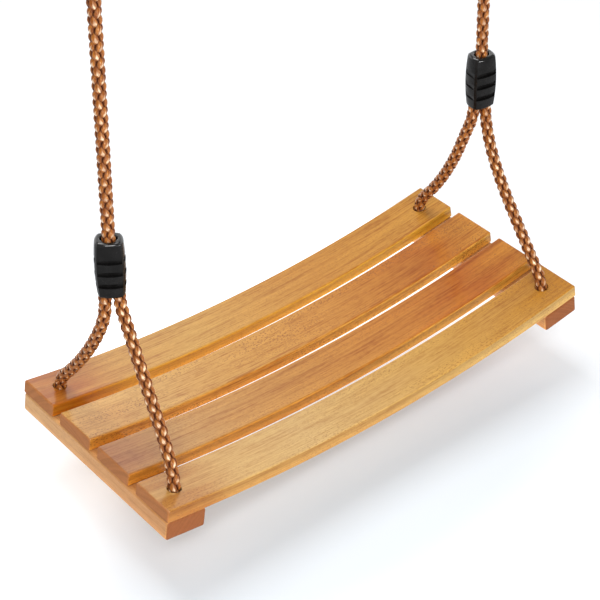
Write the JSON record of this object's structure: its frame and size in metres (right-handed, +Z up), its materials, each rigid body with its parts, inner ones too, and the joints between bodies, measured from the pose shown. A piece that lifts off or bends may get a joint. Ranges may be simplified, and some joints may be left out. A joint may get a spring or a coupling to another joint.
{
  "type": "swing seat",
  "caption": "Curved slatted wooden swing seat on two braided ropes with clamped eyes, steel rings and screw hooks; it swings fore and aft and sways sideways.",
  "frame": {"origin": "on the underside of the beam that the seat hangs from, midway between the two screw hooks", "axes": "+X along the seat's slats to the right as the sitter's front edge is faced, +Y to the back of the seat, +Z up into the beam"},
  "size_m": [0.4508, 0.203, 0.6748],
  "materials": {
    "slat_wood": "oiled hardwood with fine dark pores, each slat its own tone from pale gold to reddish brown",
    "bearer_wood": "oiled hardwood, end grain showing at front and back",
    "screw_steel": "yellow zinc-plated countersunk screws",
    "rope": "braided polypropylene rope, hemp-coloured, with a slight sheen",
    "clamp_plastic": "black moulded plastic with a satin face and glossier rims",
    "zinc_plated_steel": "bright zinc-plated steel wire"
  },
  "bodies": {
    "hangers": {"left_hook": "zinc_plated_steel", "right_hook": "zinc_plated_steel"},
    "left_ring": {"left_ring": "zinc_plated_steel"},
    "right_ring": {"right_ring": "zinc_plated_steel"},
    "left_rope": {"left_rope": "rope", "left_rope_tail": "rope", "left_seat_clamp_front": "clamp_plastic", "left_seat_clamp_back": "clamp_plastic", "left_eye_clamp_front": "clamp_plastic", "left_eye_clamp_back": "clamp_plastic"},
    "right_rope": {"right_rope": "rope", "right_rope_tail": "rope", "right_seat_clamp_front": "clamp_plastic", "right_seat_clamp_back": "clamp_plastic", "right_eye_clamp_front": "clamp_plastic", "right_eye_clamp_back": "clamp_plastic"},
    "seat": {"seat_slat_front": "slat_wood", "seat_slat_front_middle": "slat_wood", "seat_slat_rear_middle": "slat_wood", "seat_slat_rear": "slat_wood", "left_bearer": "bearer_wood", "right_bearer": "bearer_wood", "bearer_screws": "screw_steel", "left_rope_under_seat": "rope", "right_rope_under_seat": "rope"}
  },
  "joints": [
    {"name": "left_ring_swing", "type": "hinge", "parent": "hangers", "child": "left_ring", "pos_m": [-0.183, 0, -0.0473], "axis": [1, 0, 0], "range_deg": [-50, 50]},
    {"name": "right_ring_swing", "type": "hinge", "parent": "hangers", "child": "right_ring", "pos_m": [0.183, 0, -0.0473], "axis": [1, 0, 0], "range_deg": [-50, 50]},
    {"name": "left_rope_sway", "type": "hinge", "parent": "left_ring", "child": "left_rope", "pos_m": [-0.183, 0, -0.09], "axis": [0, 1, 0], "range_deg": [-10, 10]},
    {"name": "right_rope_sway", "type": "hinge", "parent": "right_ring", "child": "right_rope", "pos_m": [0.183, 0, -0.09], "axis": [0, 1, 0], "range_deg": [-10, 10]},
    {"name": "seat_level", "type": "hinge", "parent": "left_rope", "child": "seat", "pos_m": [-0.20088, 0, -0.56739], "axis": [0, 1, 0], "range_deg": [-10, 10]}
  ],
  "couplings": [
    {"joint": "right_ring_swing", "follows": "left_ring_swing", "ratio": 1},
    {"joint": "right_rope_sway", "follows": "left_rope_sway", "ratio": 1},
    {"joint": "seat_level", "follows": "left_rope_sway", "ratio": -0.911}
  ]
}
